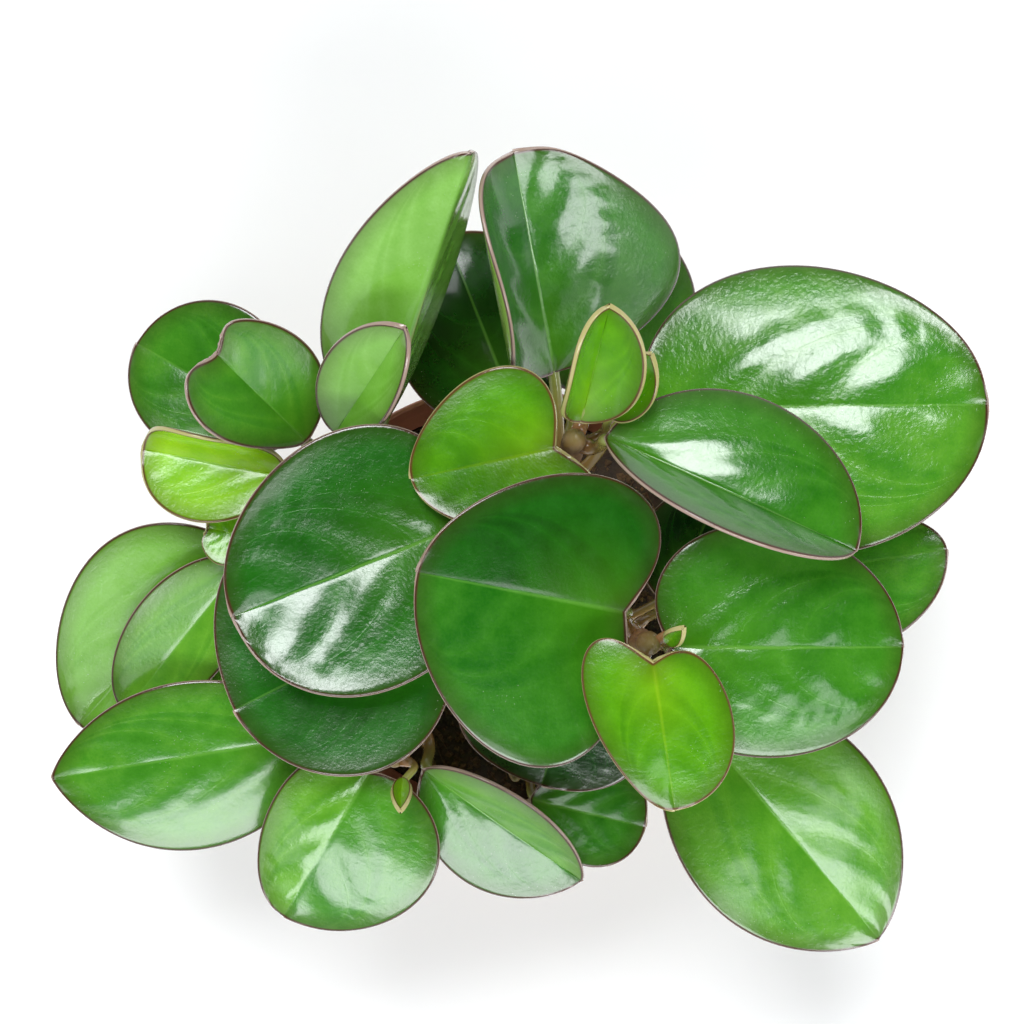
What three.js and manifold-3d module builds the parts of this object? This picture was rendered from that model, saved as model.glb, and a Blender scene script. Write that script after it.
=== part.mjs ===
// A potted peperomia: a thin nursery pot, potting soil, seven upright stems and
// thick, waxy, oval leaves on short stalks. Each is a solid of its own.
// Millimetres, +Z up, origin at the centre of the pot's flat underside, +Y to the back.
import * as THREE from 'three';
import { mergeVertices } from 'three/addons/utils/BufferGeometryUtils.js';
import Module from 'manifold-3d';

const wasm = await Module();
wasm.setup();

// Pot
const POT_HEIGHT = 105;
const RIM_RADIUS = 60;
const BASE_RADIUS = 43;
const POT_WALL = 1.6;
const FLOOR_THICKNESS = 2.2;
const FLOOR_FILLET = 1;
const BASE_BEVEL = 1.5;
const LIP_HEIGHT = 13;
const LIP_STEP = 2.6;
const LIP_SLOPE = 1;
const LIP_SLOPE_INSIDE = 3;
const RIM_ROUND = 1;
const WALL_TOP_RADIUS = 56;
const POT_SIDES = 40;
const DRAIN_COUNT = 8;
const DRAIN_RADIUS = 4.5;
const DRAIN_CIRCLE = 31;
const DRAIN_SIDES = 12;

// Soil
const SOIL_TOP = 89;
const SOIL_LUMP = 1.1;
const SOIL_SIDES = 30;
const SOIL_EDGE_DROP = 3;
const SOIL_EDGE_ROUND = 0.5;
const SOIL_RINGS = [0.82, 0.62, 0.42, 0.22];
const SOIL_INSET = 0.97;

// Stems and leaf stalks
const STEM_RADIUS = 3.1;
const STEM_SIDES = 10;
const STEM_DEPTH = 28;
const STEM_STRAIGHT = 7;
const STEM_STEP = 7;
const HOLE_RADIUS = 3.8;
const HOLE_SIDES = 14;
const STALK_RADIUS = 1.6;
const STALK_SIDES = 7;
const STALK_SLANT = 30;
const STALK_OVERLAP = 3;
const STALK_STEP = 5;
const STALK_MIN_STEPS = 4;
const STALK_EASE = 0.4;
const HEIGHT_HALVINGS = 30;

// Leaf blades
const BLADE_THICKNESS = 1.2;
const BLADE_STATIONS = 10;
const BLADE_RINGS = 2;
const TIP_DENT = 0.35;
const BASE_DENT = 0.3;
const RIPPLE_TURNS = 2.5;

// Fits and tolerances
const GAP = 0.3;
const MARGIN = 1;
const WELD = 1e-3;
const SLIVER = 0.01;
const ALMOST_FLAT = 1e-6;

const PLASTIC = { color: 0x8a4630, roughness: 0.55, metalness: 0 };
const SOIL = { color: 0x2b1d14, roughness: 0.95, metalness: 0 };
const STEM = { color: 0x7a4a3a, roughness: 0.5, metalness: 0 };
const LEAF_OLD = { color: 0x1f5a1c, roughness: 0.3, metalness: 0 };
const LEAF_MID = { color: 0x3f8a2a, roughness: 0.3, metalness: 0 };
const LEAF_YOUNG = { color: 0x7fb81a, roughness: 0.3, metalness: 0 };

const UP = new THREE.Vector3(0, 0, 1);
const radians = THREE.MathUtils.degToRad;
const vector = (point) => new THREE.Vector3(...point);

function toSolid(geometry) {
  const bare = geometry.clone();
  bare.deleteAttribute('normal');
  bare.deleteAttribute('uv');
  const merged = mergeVertices(bare, WELD / 10);
  const mesh = new wasm.Mesh({
    numProp: 3,
    vertProperties: new Float32Array(merged.attributes.position.array),
    triVerts: new Uint32Array(merged.index.array),
  });
  mesh.merge();
  return new wasm.Manifold(mesh);
}

function toGeometry(solid) {
  const mesh = solid.getMesh();
  const geometry = new THREE.BufferGeometry();
  geometry.setAttribute('position', new THREE.BufferAttribute(mesh.vertProperties, 3));
  geometry.setIndex(new THREE.BufferAttribute(mesh.triVerts, 1));
  geometry.computeVertexNormals();
  return geometry;
}

// A fused body without the slivers and sealed bubbles left where its parts meet.
function cleaned(solid) {
  const shells = solid.simplify(SLIVER).decompose();
  return shells.sort((a, b) => b.volume() - a.volume())[0];
}

function makePiece(name, geometry, finish) {
  const piece = new THREE.Mesh(geometry, new THREE.MeshStandardMaterial(finish));
  piece.name = name;
  return piece;
}

// A turned body from a closed profile of [radius, height] points.
function turned(profile, sides) {
  const points = profile.map(([radius, height]) => new THREE.Vector2(radius, height));
  return new THREE.LatheGeometry(points, sides).rotateX(Math.PI / 2);
}

// A rod of even thickness along a curve.
function rod(curve, radius, sides, steps) {
  const section = new THREE.Shape();
  for (let side = 0; side < sides; side += 1) {
    const angle = (2 * Math.PI * side) / sides;
    const corner = [radius * Math.cos(angle), radius * Math.sin(angle)];
    if (side === 0) section.moveTo(...corner);
    else section.lineTo(...corner);
  }
  section.closePath();
  return new THREE.ExtrudeGeometry(section, { steps, extrudePath: curve, bevelEnabled: false });
}

function uprightCylinder(x, y, bottom, top, radius, sides) {
  const cylinder = new THREE.CylinderGeometry(radius, radius, top - bottom, sides);
  return cylinder.rotateX(Math.PI / 2).translate(x, y, (top + bottom) / 2);
}

const lipBottom = POT_HEIGHT - LIP_HEIGHT;
const wallTop = lipBottom - LIP_SLOPE;

function makePot() {
  const lipRadius = WALL_TOP_RADIUS + LIP_STEP;
  const floorRadius = BASE_RADIUS - POT_WALL;
  const profile = [
    [0, 0],
    [BASE_RADIUS - BASE_BEVEL, 0],
    [BASE_RADIUS, BASE_BEVEL],
    [WALL_TOP_RADIUS, wallTop],
    [lipRadius, lipBottom],
    [RIM_RADIUS, POT_HEIGHT - RIM_ROUND],
    [RIM_RADIUS - POT_WALL / 2, POT_HEIGHT],
    [RIM_RADIUS - POT_WALL, POT_HEIGHT - RIM_ROUND],
    [lipRadius - POT_WALL, wallTop + LIP_SLOPE_INSIDE],
    [WALL_TOP_RADIUS - POT_WALL, wallTop],
    [floorRadius, FLOOR_THICKNESS + FLOOR_FILLET],
    [floorRadius - FLOOR_FILLET, FLOOR_THICKNESS],
    [0, FLOOR_THICKNESS],
  ];
  let pot = toSolid(turned(profile, POT_SIDES));
  for (let hole = 0; hole < DRAIN_COUNT; hole += 1) {
    const angle = (2 * Math.PI * hole) / DRAIN_COUNT;
    const x = DRAIN_CIRCLE * Math.cos(angle);
    const y = DRAIN_CIRCLE * Math.sin(angle);
    const top = FLOOR_THICKNESS + MARGIN;
    pot = pot.subtract(toSolid(uprightCylinder(x, y, -MARGIN, top, DRAIN_RADIUS, DRAIN_SIDES)));
  }
  return makePiece('pot', toGeometry(pot), PLASTIC);
}

// Low humps and hollows of the crumbly top: two crossed waves, about 50 and 20 long.
function soilLump(x, y) {
  const broad = Math.sin(0.11 * x + 0.8) * Math.cos(0.13 * y - 0.4);
  const small = Math.sin(0.31 * x - 0.17 * y) * Math.cos(0.27 * y + 0.12 * x);
  return SOIL_LUMP * (broad + 0.6 * small);
}

function makeSoil(stems) {
  const slope = (WALL_TOP_RADIUS - BASE_RADIUS) / wallTop;
  const bottom = FLOOR_THICKNESS + FLOOR_FILLET + GAP;
  const insideRadius = (height) => BASE_RADIUS + slope * (height - BASE_BEVEL) - POT_WALL;
  const edge = insideRadius(SOIL_TOP - SOIL_EDGE_DROP) - 2 * GAP;
  const profile = [
    [0, bottom],
    [insideRadius(bottom) - 2 * GAP, bottom],
    [edge, SOIL_TOP - SOIL_EDGE_DROP],
    [edge * SOIL_INSET, SOIL_TOP - SOIL_EDGE_ROUND],
    ...SOIL_RINGS.map((share) => [share * edge, SOIL_TOP]),
    [0, SOIL_TOP],
  ];
  const plug = turned(profile, SOIL_SIDES);
  const place = plug.attributes.position;
  for (let i = 0; i < place.count; i += 1) {
    if (place.getZ(i) < SOIL_TOP - 2 * SOIL_EDGE_ROUND) continue;
    place.setZ(i, place.getZ(i) + soilLump(place.getX(i), place.getY(i)));
  }
  let soil = toSolid(plug);
  const holeBottom = SOIL_TOP - STEM_DEPTH - MARGIN;
  for (const { foot } of Object.values(stems)) {
    const hole = uprightCylinder(...foot, holeBottom, POT_HEIGHT, HOLE_RADIUS, HOLE_SIDES);
    soil = soil.subtract(toSolid(hole));
  }
  return makePiece('soil', toGeometry(soil), SOIL);
}

// Each stem stands upright in the soil at foot [x, y], then leans out to its apex.
const stems = {
  stem_back: { foot: [13, 24], bend: [17, 36, 135], apex: [19, 45, 174] },
  stem_right: { foot: [24, -4], bend: [32, -6, 130], apex: [38, -7, 176] },
  stem_centre: { foot: [-2, 8], bend: [-4, 12, 125], apex: [-6, 17, 156] },
  stem_left_back: { foot: [-24, 24], bend: [-37, 34, 122], apex: [-47, 41, 146] },
  stem_left: { foot: [-36, 6], bend: [-49, 9, 112], apex: [-62, 13, 132] },
  stem_front_left: { foot: [-17, -22], bend: [-22, -31, 112], apex: [-28, -40, 134] },
  stem_front: { foot: [6, -28], bend: [5, -37, 103], apex: [4, -46, 114] },
};

function stemCurve({ foot, bend, apex }) {
  const upright = [-STEM_DEPTH, -STEM_DEPTH / 2, 0, STEM_STRAIGHT];
  const points = upright.map((rise) => new THREE.Vector3(...foot, SOIL_TOP + rise));
  return new THREE.CatmullRomCurve3([...points, vector(bend), vector(apex)]);
}

function makeStem(name) {
  const curve = stemCurve(stems[name]);
  const steps = Math.round(curve.getLength() / STEM_STEP);
  return makePiece(name, rod(curve, STEM_RADIUS, STEM_SIDES, steps), STEM);
}

// The point of a stem's axis at a given height, and the way the stem runs there.
function stemPoint(name, height) {
  const curve = stemCurve(stems[name]);
  let low = 0;
  let high = 1;
  for (let turn = 0; turn < HEIGHT_HALVINGS; turn += 1) {
    const middle = (low + high) / 2;
    if (curve.getPoint(middle).z < height) low = middle;
    else high = middle;
  }
  return { axis: curve.getPoint(low), along: curve.getTangent(low) };
}

// The leaves. base is where the blade meets its stalk and tip its far end. Pairs are for
// the left and the right half, seen from above and looking from base to tip.
// half: the half widths. broad: + is widest towards the tip, - towards the base. lobe: how
// far the base reaches back past the stalk. notch: how deep the tip is dented. point: at
// tip and base, 1 is a round end and 2 a sharp one. arch: how high the midrib bows. rise:
// the angle at which each half leaves the midrib. curl: how much further each half turns
// up before its margin. wave: how high the margin ripples.
const PLAIN = {
  broad: [0, 0], lobe: [0, 0], notch: 0, point: [1.05, 1.2], arch: 0, rise: [0, 0],
  curl: [0, 0], wave: 0.5, finish: LEAF_OLD,
};

const leaves = [
  {
    name: 'leaf_left_back_outer', stem: 'stem_left_back', foot: 116,
    base: [-54, 46, 130], tip: [-95, 70, 128], half: [19, 22], broad: [0.1, 0.1],
    rise: [-2, 8], arch: 3,
  },
  {
    name: 'leaf_left_back_inner', stem: 'stem_left_back', foot: 134,
    base: [-50, 44, 141], tip: [-76, 70, 160], half: [17, 18], broad: [0.4, -0.05],
    notch: 7, rise: [34, 4],
  },
  {
    name: 'leaf_left_back_small', stem: 'stem_left_back', foot: 136,
    base: [-42, 46, 144], tip: [-23, 71, 175], half: [13, 11], rise: [5, 34],
    curl: [10, 0], finish: LEAF_MID,
  },
  {
    name: 'leaf_back_tall', stem: 'stem_left_back', foot: 122,
    base: [-31, 48, 134], tip: [-7, 113, 186], half: [23, 22], broad: [-0.25, -0.1],
    point: [1.25, 1.1], rise: [6, -80], curl: [-12, 0], arch: 2, finish: LEAF_MID,
  },
  {
    name: 'leaf_back_shaded', stem: 'stem_back', foot: 110,
    base: [6, 48, 113], tip: [-14, 98, 130], half: [24, 24],
  },
  {
    name: 'leaf_back_broad', stem: 'stem_back', foot: 130,
    base: [14, 62, 137], tip: [3, 117, 170], half: [31, 37], broad: [0, -0.4],
    notch: 2, point: [0.95, 1.2], rise: [30, -4], curl: [84, -20], arch: 2,
  },
  {
    name: 'leaf_back_lower', stem: 'stem_back', foot: 112,
    base: [20, 58, 120], tip: [17, 113, 142], half: [17, 32], broad: [0, -0.35],
    rise: [0, -6], curl: [0, -10], arch: 2,
  },
  {
    name: 'leaf_crown_young', stem: 'stem_back', foot: 168,
    base: [20, 48, 180], tip: [26, 74, 212], half: [13.5, 14], broad: [0.1, 0.1],
    point: [1.3, 1.2], rise: [38, 12], curl: [60, 30], arch: -2, finish: LEAF_YOUNG,
  },
  {
    name: 'leaf_crown_young_small', stem: 'stem_back', foot: 160,
    base: [27, 49, 177], tip: [37, 64, 187], half: [7, 8], rise: [10, 30],
    point: [1.3, 1.2], finish: LEAF_YOUNG,
  },
  {
    name: 'leaf_crown_left', stem: 'stem_back', foot: 154,
    base: [14, 41.5, 170], tip: [-22, 34, 165], half: [19, 22], broad: [-0.2, -0.3],
    lobe: [14, 5], point: [1, 0.8], rise: [0, 4], curl: [8, 10], finish: LEAF_YOUNG,
  },
  {
    name: 'leaf_right_upper', stem: 'stem_back', foot: 164,
    base: [26, 44, 177], tip: [87, 16, 182], half: [26, 15], rise: [-6, 52],
    curl: [-18, 0], point: [1.1, 1.3], arch: 4,
  },
  {
    name: 'leaf_right_back_large', stem: 'stem_back', foot: 124,
    base: [38, 52, 141], tip: [125, 53, 152], half: [37, 38], broad: [-0.12, 0],
    notch: 1, lobe: [4, 4], point: [1.05, 1], rise: [-2, 4], curl: [-14, -12], arch: 5, wave: 1.2,
  },
  {
    name: 'leaf_centre_large', stem: 'stem_right', foot: 156,
    base: [31, 1, 173], tip: [-20, 11, 183], half: [41, 31], broad: [-0.2, -0.25],
    lobe: [8, 11], point: [1, 0.8], rise: [0, 4], curl: [-4, -5], arch: 1,
  },
  {
    name: 'leaf_heart_bright', stem: 'stem_right', foot: 168,
    base: [37.5, -11, 184], tip: [43, -47, 181], half: [17.5, 17], broad: [0.05, -0.35],
    lobe: [5, 13], point: [0.95, 0.8], rise: [8, 4], curl: [-20, -16], arch: 1,
    finish: LEAF_YOUNG,
  },
  {
    name: 'leaf_bud_right', stem: 'stem_right', foot: 172,
    base: [41, -6, 184], tip: [44.5, -2, 194], half: [2.8, 2.8], rise: [35, 35],
    point: [1.6, 1.3], wave: 0, finish: LEAF_YOUNG,
  },
  {
    name: 'leaf_right_round', stem: 'stem_right', foot: 152,
    base: [43, -8, 167], tip: [101, -8, 164], half: [31, 28], broad: [-0.1, 0],
    lobe: [9, 9], point: [1, 0.9], rise: [4, -2], curl: [-10, -8], arch: 2, wave: 0.9,
    finish: LEAF_MID,
  },
  {
    name: 'leaf_right_shaded', stem: 'stem_right', foot: 138,
    base: [43, 2, 149], tip: [56, 31, 152], half: [14, 15], rise: [2, 4],
  },
  {
    name: 'leaf_right_lower', stem: 'stem_right', foot: 118,
    base: [53, 6, 127], tip: [117, 16, 130], half: [15, 24],
  },
  {
    name: 'leaf_front_right_pointed', stem: 'stem_right', foot: 122,
    base: [48, -25, 132], tip: [100, -87, 122], half: [28, 28], point: [1.4, 1.2],
    rise: [6, 6], curl: [-6, -8], arch: 4, finish: LEAF_MID,
  },
  {
    name: 'leaf_left_centre_large', stem: 'stem_centre', foot: 146,
    base: [-10, 22, 160], tip: [-68, -1, 160], half: [32, 34], broad: [0.05, -0.15],
    lobe: [8, 8], point: [1.05, 0.85], notch: 1, rise: [4, 8], curl: [6, 4], arch: -2,
    wave: 0.9,
  },
  {
    name: 'leaf_left_centre_lower', stem: 'stem_centre', foot: 130,
    base: [-14, 2, 143], tip: [-68, -25, 146], half: [31, 38], broad: [0, 0.1],
    rise: [0, -2], curl: [4, 4], wave: 0.8,
  },
  {
    name: 'leaf_centre_lower', stem: 'stem_right', foot: 114,
    base: [22, -10, 123], tip: [11, -47, 118], half: [24, 27], broad: [0.1, 0.2],
    point: [0.95, 1.2],
  },
  {
    name: 'leaf_left_bright', stem: 'stem_left_back', foot: 126,
    base: [-55, 35, 139], tip: [-92, 42, 141], half: [16, 18], broad: [0.15, 0.15],
    point: [0.95, 1.2], rise: [4, 36], curl: [4, 70], finish: LEAF_YOUNG,
  },
  {
    name: 'leaf_left_young', stem: 'stem_left', foot: 124,
    base: [-64, 19, 131], tip: [-78, 22, 132], half: [9, 8], notch: 2,
    rise: [10, 6], finish: LEAF_YOUNG, wave: 0.2,
  },
  {
    name: 'leaf_left_pale', stem: 'stem_left', foot: 108,
    base: [-70, 17, 117], tip: [-114, -32, 101], half: [26, 27], broad: [0, -0.15],
    rise: [0, 4], finish: LEAF_MID,
  },
  {
    name: 'leaf_left_narrow', stem: 'stem_left', foot: 114,
    base: [-67, 13, 122], tip: [-101, -28, 107], half: [13, 15], rise: [8, 4],
    finish: LEAF_MID,
  },
  {
    name: 'leaf_front_left_pointed', stem: 'stem_front_left', foot: 108,
    base: [-46, -33, 118], tip: [-119, -45, 117], half: [26, 20], point: [1.5, 1.3],
    rise: [-5, 5], curl: [-12, 0], arch: 2, finish: LEAF_MID,
  },
  {
    name: 'leaf_front_round', stem: 'stem_front_left', foot: 120,
    base: [-34, -42, 132], tip: [-57, -81, 122], half: [29, 18], broad: [-0.1, -0.1],
    lobe: [4, 5], point: [0.95, 1], rise: [-5, 0], arch: 2, finish: LEAF_MID,
  },
  {
    name: 'leaf_front_young', stem: 'stem_front_left', foot: 132,
    base: [-25, -43, 142], tip: [-25, -50, 156], half: [3, 3], rise: [30, 30],
    point: [1.5, 1.3], wave: 0, finish: LEAF_YOUNG,
  },
  {
    name: 'leaf_front_glossy', stem: 'stem_front_left', foot: 114,
    base: [-20, -42, 124], tip: [22, -72, 117], half: [13, 19], point: [1.4, 1.2],
    rise: [44, -12], arch: 2, finish: LEAF_MID,
  },
  {
    name: 'leaf_front_dark', stem: 'stem_front', foot: 108,
    base: [8, -51, 112], tip: [39, -59, 108], half: [15, 14], broad: [0.15, 0.15],
    point: [0.95, 1.2],
  },
];

// A point of one half of the blade, laid flat: [along the midrib, across it]. which is 0
// for the left half and 1 for the right, turn runs from 0 at the tip to PI at the base,
// and share from 0 at the midrib to 1 at the margin.
function flatPoint(leaf, length, which, turn, share) {
  const lobe = leaf.lobe[which];
  const tipDent = leaf.notch * Math.exp(-((turn / TIP_DENT) ** 2));
  const baseDent = lobe * Math.exp((turn - Math.PI) / BASE_DENT);
  const reach = (length + lobe) / 2;
  const marginAlong = length - reach + reach * Math.cos(turn) - tipDent + baseDent;
  const nearTip = (1 + Math.cos(turn)) / 2;
  const point = leaf.point[0] * nearTip + leaf.point[1] * (1 - nearTip);
  const width = leaf.half[which] * (1 + leaf.broad[which] * Math.cos(turn));
  const marginAcross = width * Math.sin(turn) ** point;
  const ribAlong = (length - leaf.notch) * nearTip;
  return [ribAlong + share * (marginAlong - ribAlong), share * marginAcross];
}

// The same point in space, on the middle of the blade's thickness.
function bladePoint(leaf, which, turn, share) {
  const base = vector(leaf.base);
  const chord = vector(leaf.tip).sub(base);
  const length = chord.length();
  const forward = chord.normalize();
  const across = new THREE.Vector3().crossVectors(UP, forward).normalize();
  const above = new THREE.Vector3().crossVectors(forward, across);
  const side = which === 0 ? 1 : -1;
  const [along, out] = flatPoint(leaf, length, which, turn, share);
  const start = radians(leaf.rise[which]);
  const bend = radians(leaf.curl[which]) / leaf.half[which] + ALMOST_FLAT;
  const sideways = (Math.sin(start + bend * out) - Math.sin(start)) / bend;
  const upwards = (Math.cos(start) - Math.cos(start + bend * out)) / bend;
  const bow = (4 * leaf.arch * along * (length - along)) / length ** 2;
  const ripple = leaf.wave * share ** 2 * Math.sin(RIPPLE_TURNS * turn + side + length);
  return base
    .addScaledVector(forward, along)
    .addScaledVector(across, side * sideways)
    .addScaledVector(above, upwards + bow + ripple);
}

// The blade's middle surface: two halves that share the midrib.
function bladeSurface(leaf) {
  const corners = [];
  const at = (which, station, ring) => {
    const turn = (Math.PI * station) / BLADE_STATIONS;
    return bladePoint(leaf, which, turn, ring / BLADE_RINGS);
  };
  for (const which of [0, 1]) {
    for (let station = 0; station < BLADE_STATIONS; station += 1) {
      for (let ring = 0; ring < BLADE_RINGS; ring += 1) {
        const a = at(which, station, ring);
        const b = at(which, station, ring + 1);
        const c = at(which, station + 1, ring + 1);
        const d = at(which, station + 1, ring);
        const faces = station === 0 ? [[a, c, d], [a, b, c]] : [[a, b, d], [b, c, d]];
        for (const face of faces) corners.push(...(which === 0 ? face : face.reverse()));
      }
    }
  }
  const surface = mergeVertices(new THREE.BufferGeometry().setFromPoints(corners), WELD);
  const index = surface.index.array;
  const kept = [];
  for (let i = 0; i < index.length; i += 3) {
    const [a, b, c] = [index[i], index[i + 1], index[i + 2]];
    if (a !== b && b !== c && c !== a) kept.push(a, b, c);
  }
  surface.setIndex(kept);
  surface.computeVertexNormals();
  return surface;
}

// A closed plate round a surface: the same triangles on both faces, walled at the margin.
function thicken(surface, thickness) {
  const place = surface.attributes.position;
  const normal = surface.attributes.normal;
  const count = place.count;
  const points = [];
  for (const half of [thickness / 2, -thickness / 2]) {
    for (let i = 0; i < count; i += 1) {
      const point = new THREE.Vector3().fromBufferAttribute(place, i);
      points.push(point.addScaledVector(new THREE.Vector3().fromBufferAttribute(normal, i), half));
    }
  }
  const faces = [];
  const edges = new Set();
  const index = surface.index.array;
  for (let i = 0; i < index.length; i += 3) {
    const [a, b, c] = [index[i], index[i + 1], index[i + 2]];
    faces.push(a, b, c, a + count, c + count, b + count);
    for (const [from, to] of [[a, b], [b, c], [c, a]]) edges.add(`${from},${to}`);
  }
  for (const edge of edges) {
    const [from, to] = edge.split(',').map(Number);
    if (edges.has(`${to},${from}`)) continue;
    faces.push(to, from, from + count, to, from + count, to + count);
  }
  const plate = new THREE.BufferGeometry().setFromPoints(points);
  plate.setIndex(faces);
  return plate;
}

// The stalk leaves the stem at a slant, then turns into the blade's midrib.
function stalkCurve(leaf) {
  const base = vector(leaf.base);
  const forward = vector(leaf.tip).sub(base).normalize();
  const { axis, along } = stemPoint(leaf.stem, leaf.foot);
  const outward = base.clone().sub(axis);
  outward.addScaledVector(along, -outward.dot(along)).normalize();
  const slant = radians(STALK_SLANT);
  const leaving = outward.clone().multiplyScalar(Math.cos(slant));
  leaving.addScaledVector(along, Math.sin(slant));
  const clear = STEM_RADIUS + GAP + STALK_RADIUS * Math.sin(slant);
  const start = axis.clone().addScaledVector(outward, clear);
  const end = base.clone().addScaledVector(forward, STALK_OVERLAP);
  const reach = start.distanceTo(end) * STALK_EASE;
  const first = start.clone().addScaledVector(leaving, reach);
  const second = end.clone().addScaledVector(forward, -reach);
  return new THREE.CubicBezierCurve3(start, first, second, end);
}

function makeLeaf(row) {
  const leaf = { ...PLAIN, ...row };
  const blade = toSolid(thicken(bladeSurface(leaf), BLADE_THICKNESS));
  const curve = stalkCurve(leaf);
  const steps = Math.max(STALK_MIN_STEPS, Math.round(curve.getLength() / STALK_STEP));
  const stalk = toSolid(rod(curve, STALK_RADIUS, STALK_SIDES, steps));
  return makePiece(leaf.name, toGeometry(cleaned(blade.add(stalk))), leaf.finish);
}

const plant = new THREE.Group();
plant.add(makePot(), makeSoil(stems));
for (const name of Object.keys(stems)) plant.add(makeStem(name));
for (const row of leaves) plant.add(makeLeaf(row));

export default plant;
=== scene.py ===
# %% [markdown]
# A potted peperomia, dressed for the studio. The frame holds the plant's solids at their
# real size and place. They are coarse, so every leaf, every stem, the soil and the pot
# are made again here with a finer mesh of the same form.

# %% The frame
from math import acos, cos, dist, exp, pi, radians, sin, sqrt
import bpy
import numpy as np
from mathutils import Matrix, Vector


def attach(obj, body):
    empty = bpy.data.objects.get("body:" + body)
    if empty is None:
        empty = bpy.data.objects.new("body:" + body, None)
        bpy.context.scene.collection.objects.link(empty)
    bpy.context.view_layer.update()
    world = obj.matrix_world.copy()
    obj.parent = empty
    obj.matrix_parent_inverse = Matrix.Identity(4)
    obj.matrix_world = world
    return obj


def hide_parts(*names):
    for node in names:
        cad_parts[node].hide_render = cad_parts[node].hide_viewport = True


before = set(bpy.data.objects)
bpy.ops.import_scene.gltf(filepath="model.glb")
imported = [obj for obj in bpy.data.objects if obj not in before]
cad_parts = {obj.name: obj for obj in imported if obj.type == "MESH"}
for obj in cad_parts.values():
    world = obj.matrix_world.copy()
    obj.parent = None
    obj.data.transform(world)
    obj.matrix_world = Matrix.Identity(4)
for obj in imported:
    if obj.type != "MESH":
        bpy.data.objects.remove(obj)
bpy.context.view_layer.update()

MM = 0.001
print("nodes in the frame:", len(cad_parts))

# %% [markdown]
# Seven fleshy stems stand in the soil, and each leaf sits on one of them by a round
# stalk. Their sizes are in millimetres and are those that the solids were made from. They
# could be measured off the frame's meshes, but written down they can be read and changed.
# A stem has its foot, a point that it bends through and its tip.

# %% Sizes of stems and stalks
SOIL_TOP = 89
STEM_RADIUS = 3.1
STEM_DEPTH = 28
STEM_STRAIGHT = 7
STALK_RADIUS = 1.6
STALK_SLANT = radians(30)
BLADE_THICKNESS = 1.2
JOINT_GAP = 0.3

STEMS = {
    "back": ((13, 24), (17, 36, 135), (19, 45, 174)),
    "right": ((24, -4), (32, -6, 130), (38, -7, 176)),
    "centre": ((-2, 8), (-4, 12, 125), (-6, 17, 156)),
    "left_back": ((-24, 24), (-37, 34, 122), (-47, 41, 146)),
    "left": ((-36, 6), (-49, 9, 112), (-62, 13, 132)),
    "front_left": ((-17, -22), (-22, -31, 112), (-28, -40, 134)),
    "front": ((6, -28), (5, -37, 103), (4, -46, 114)),
}
print("stems:", len(STEMS))

# %% [markdown]
# Each of the thirty-one leaves is described by a few sizes. base is where the blade meets
# its stalk, tip is its far end, and half holds the half widths to the left and right of
# the way from base to tip. rise and curl bend the halves up, tone runs from 0, the
# darkest green, to 1, and quilt says how strongly the veins show. The tone is mostly the
# leaf's own green, but leaves lying in shade get a dark tone as painted shade, and a few
# pale ones a lighter tone as painted sheen. A single number holds for both halves. The
# leaves could be sculpted one by one, but in a table each can be moved or turned alone.

# %% Rows of the leaf table


def leaf(name, stem, foot, base, tip, half, tone, young=False, quilt=0.35, **form):
    row = dict(name=name, stem=stem, foot=foot, base=base, tip=tip, half=half, tone=tone,
               young=young, quilt=quilt, broad=0, lobe=0, notch=0, point=(1.05, 1.2), arch=0,
               rise=0, curl=0, wave=0.5)
    row.update(form)
    for key in ("tone", "broad", "lobe", "rise", "curl"):
        row[key] = np.broadcast_to(row[key], 2)
    return row


print("values in a row:", len(leaf("test", "back", 0, 0, 0, 0, 0)))

# %% [markdown]
# The leaves at the back sit on the two back stems. One of them stands so steeply that
# from above its far half is hardly seen. A row could hold nothing but a place, with one
# form copied for all, but no two leaves are bent alike.

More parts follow.
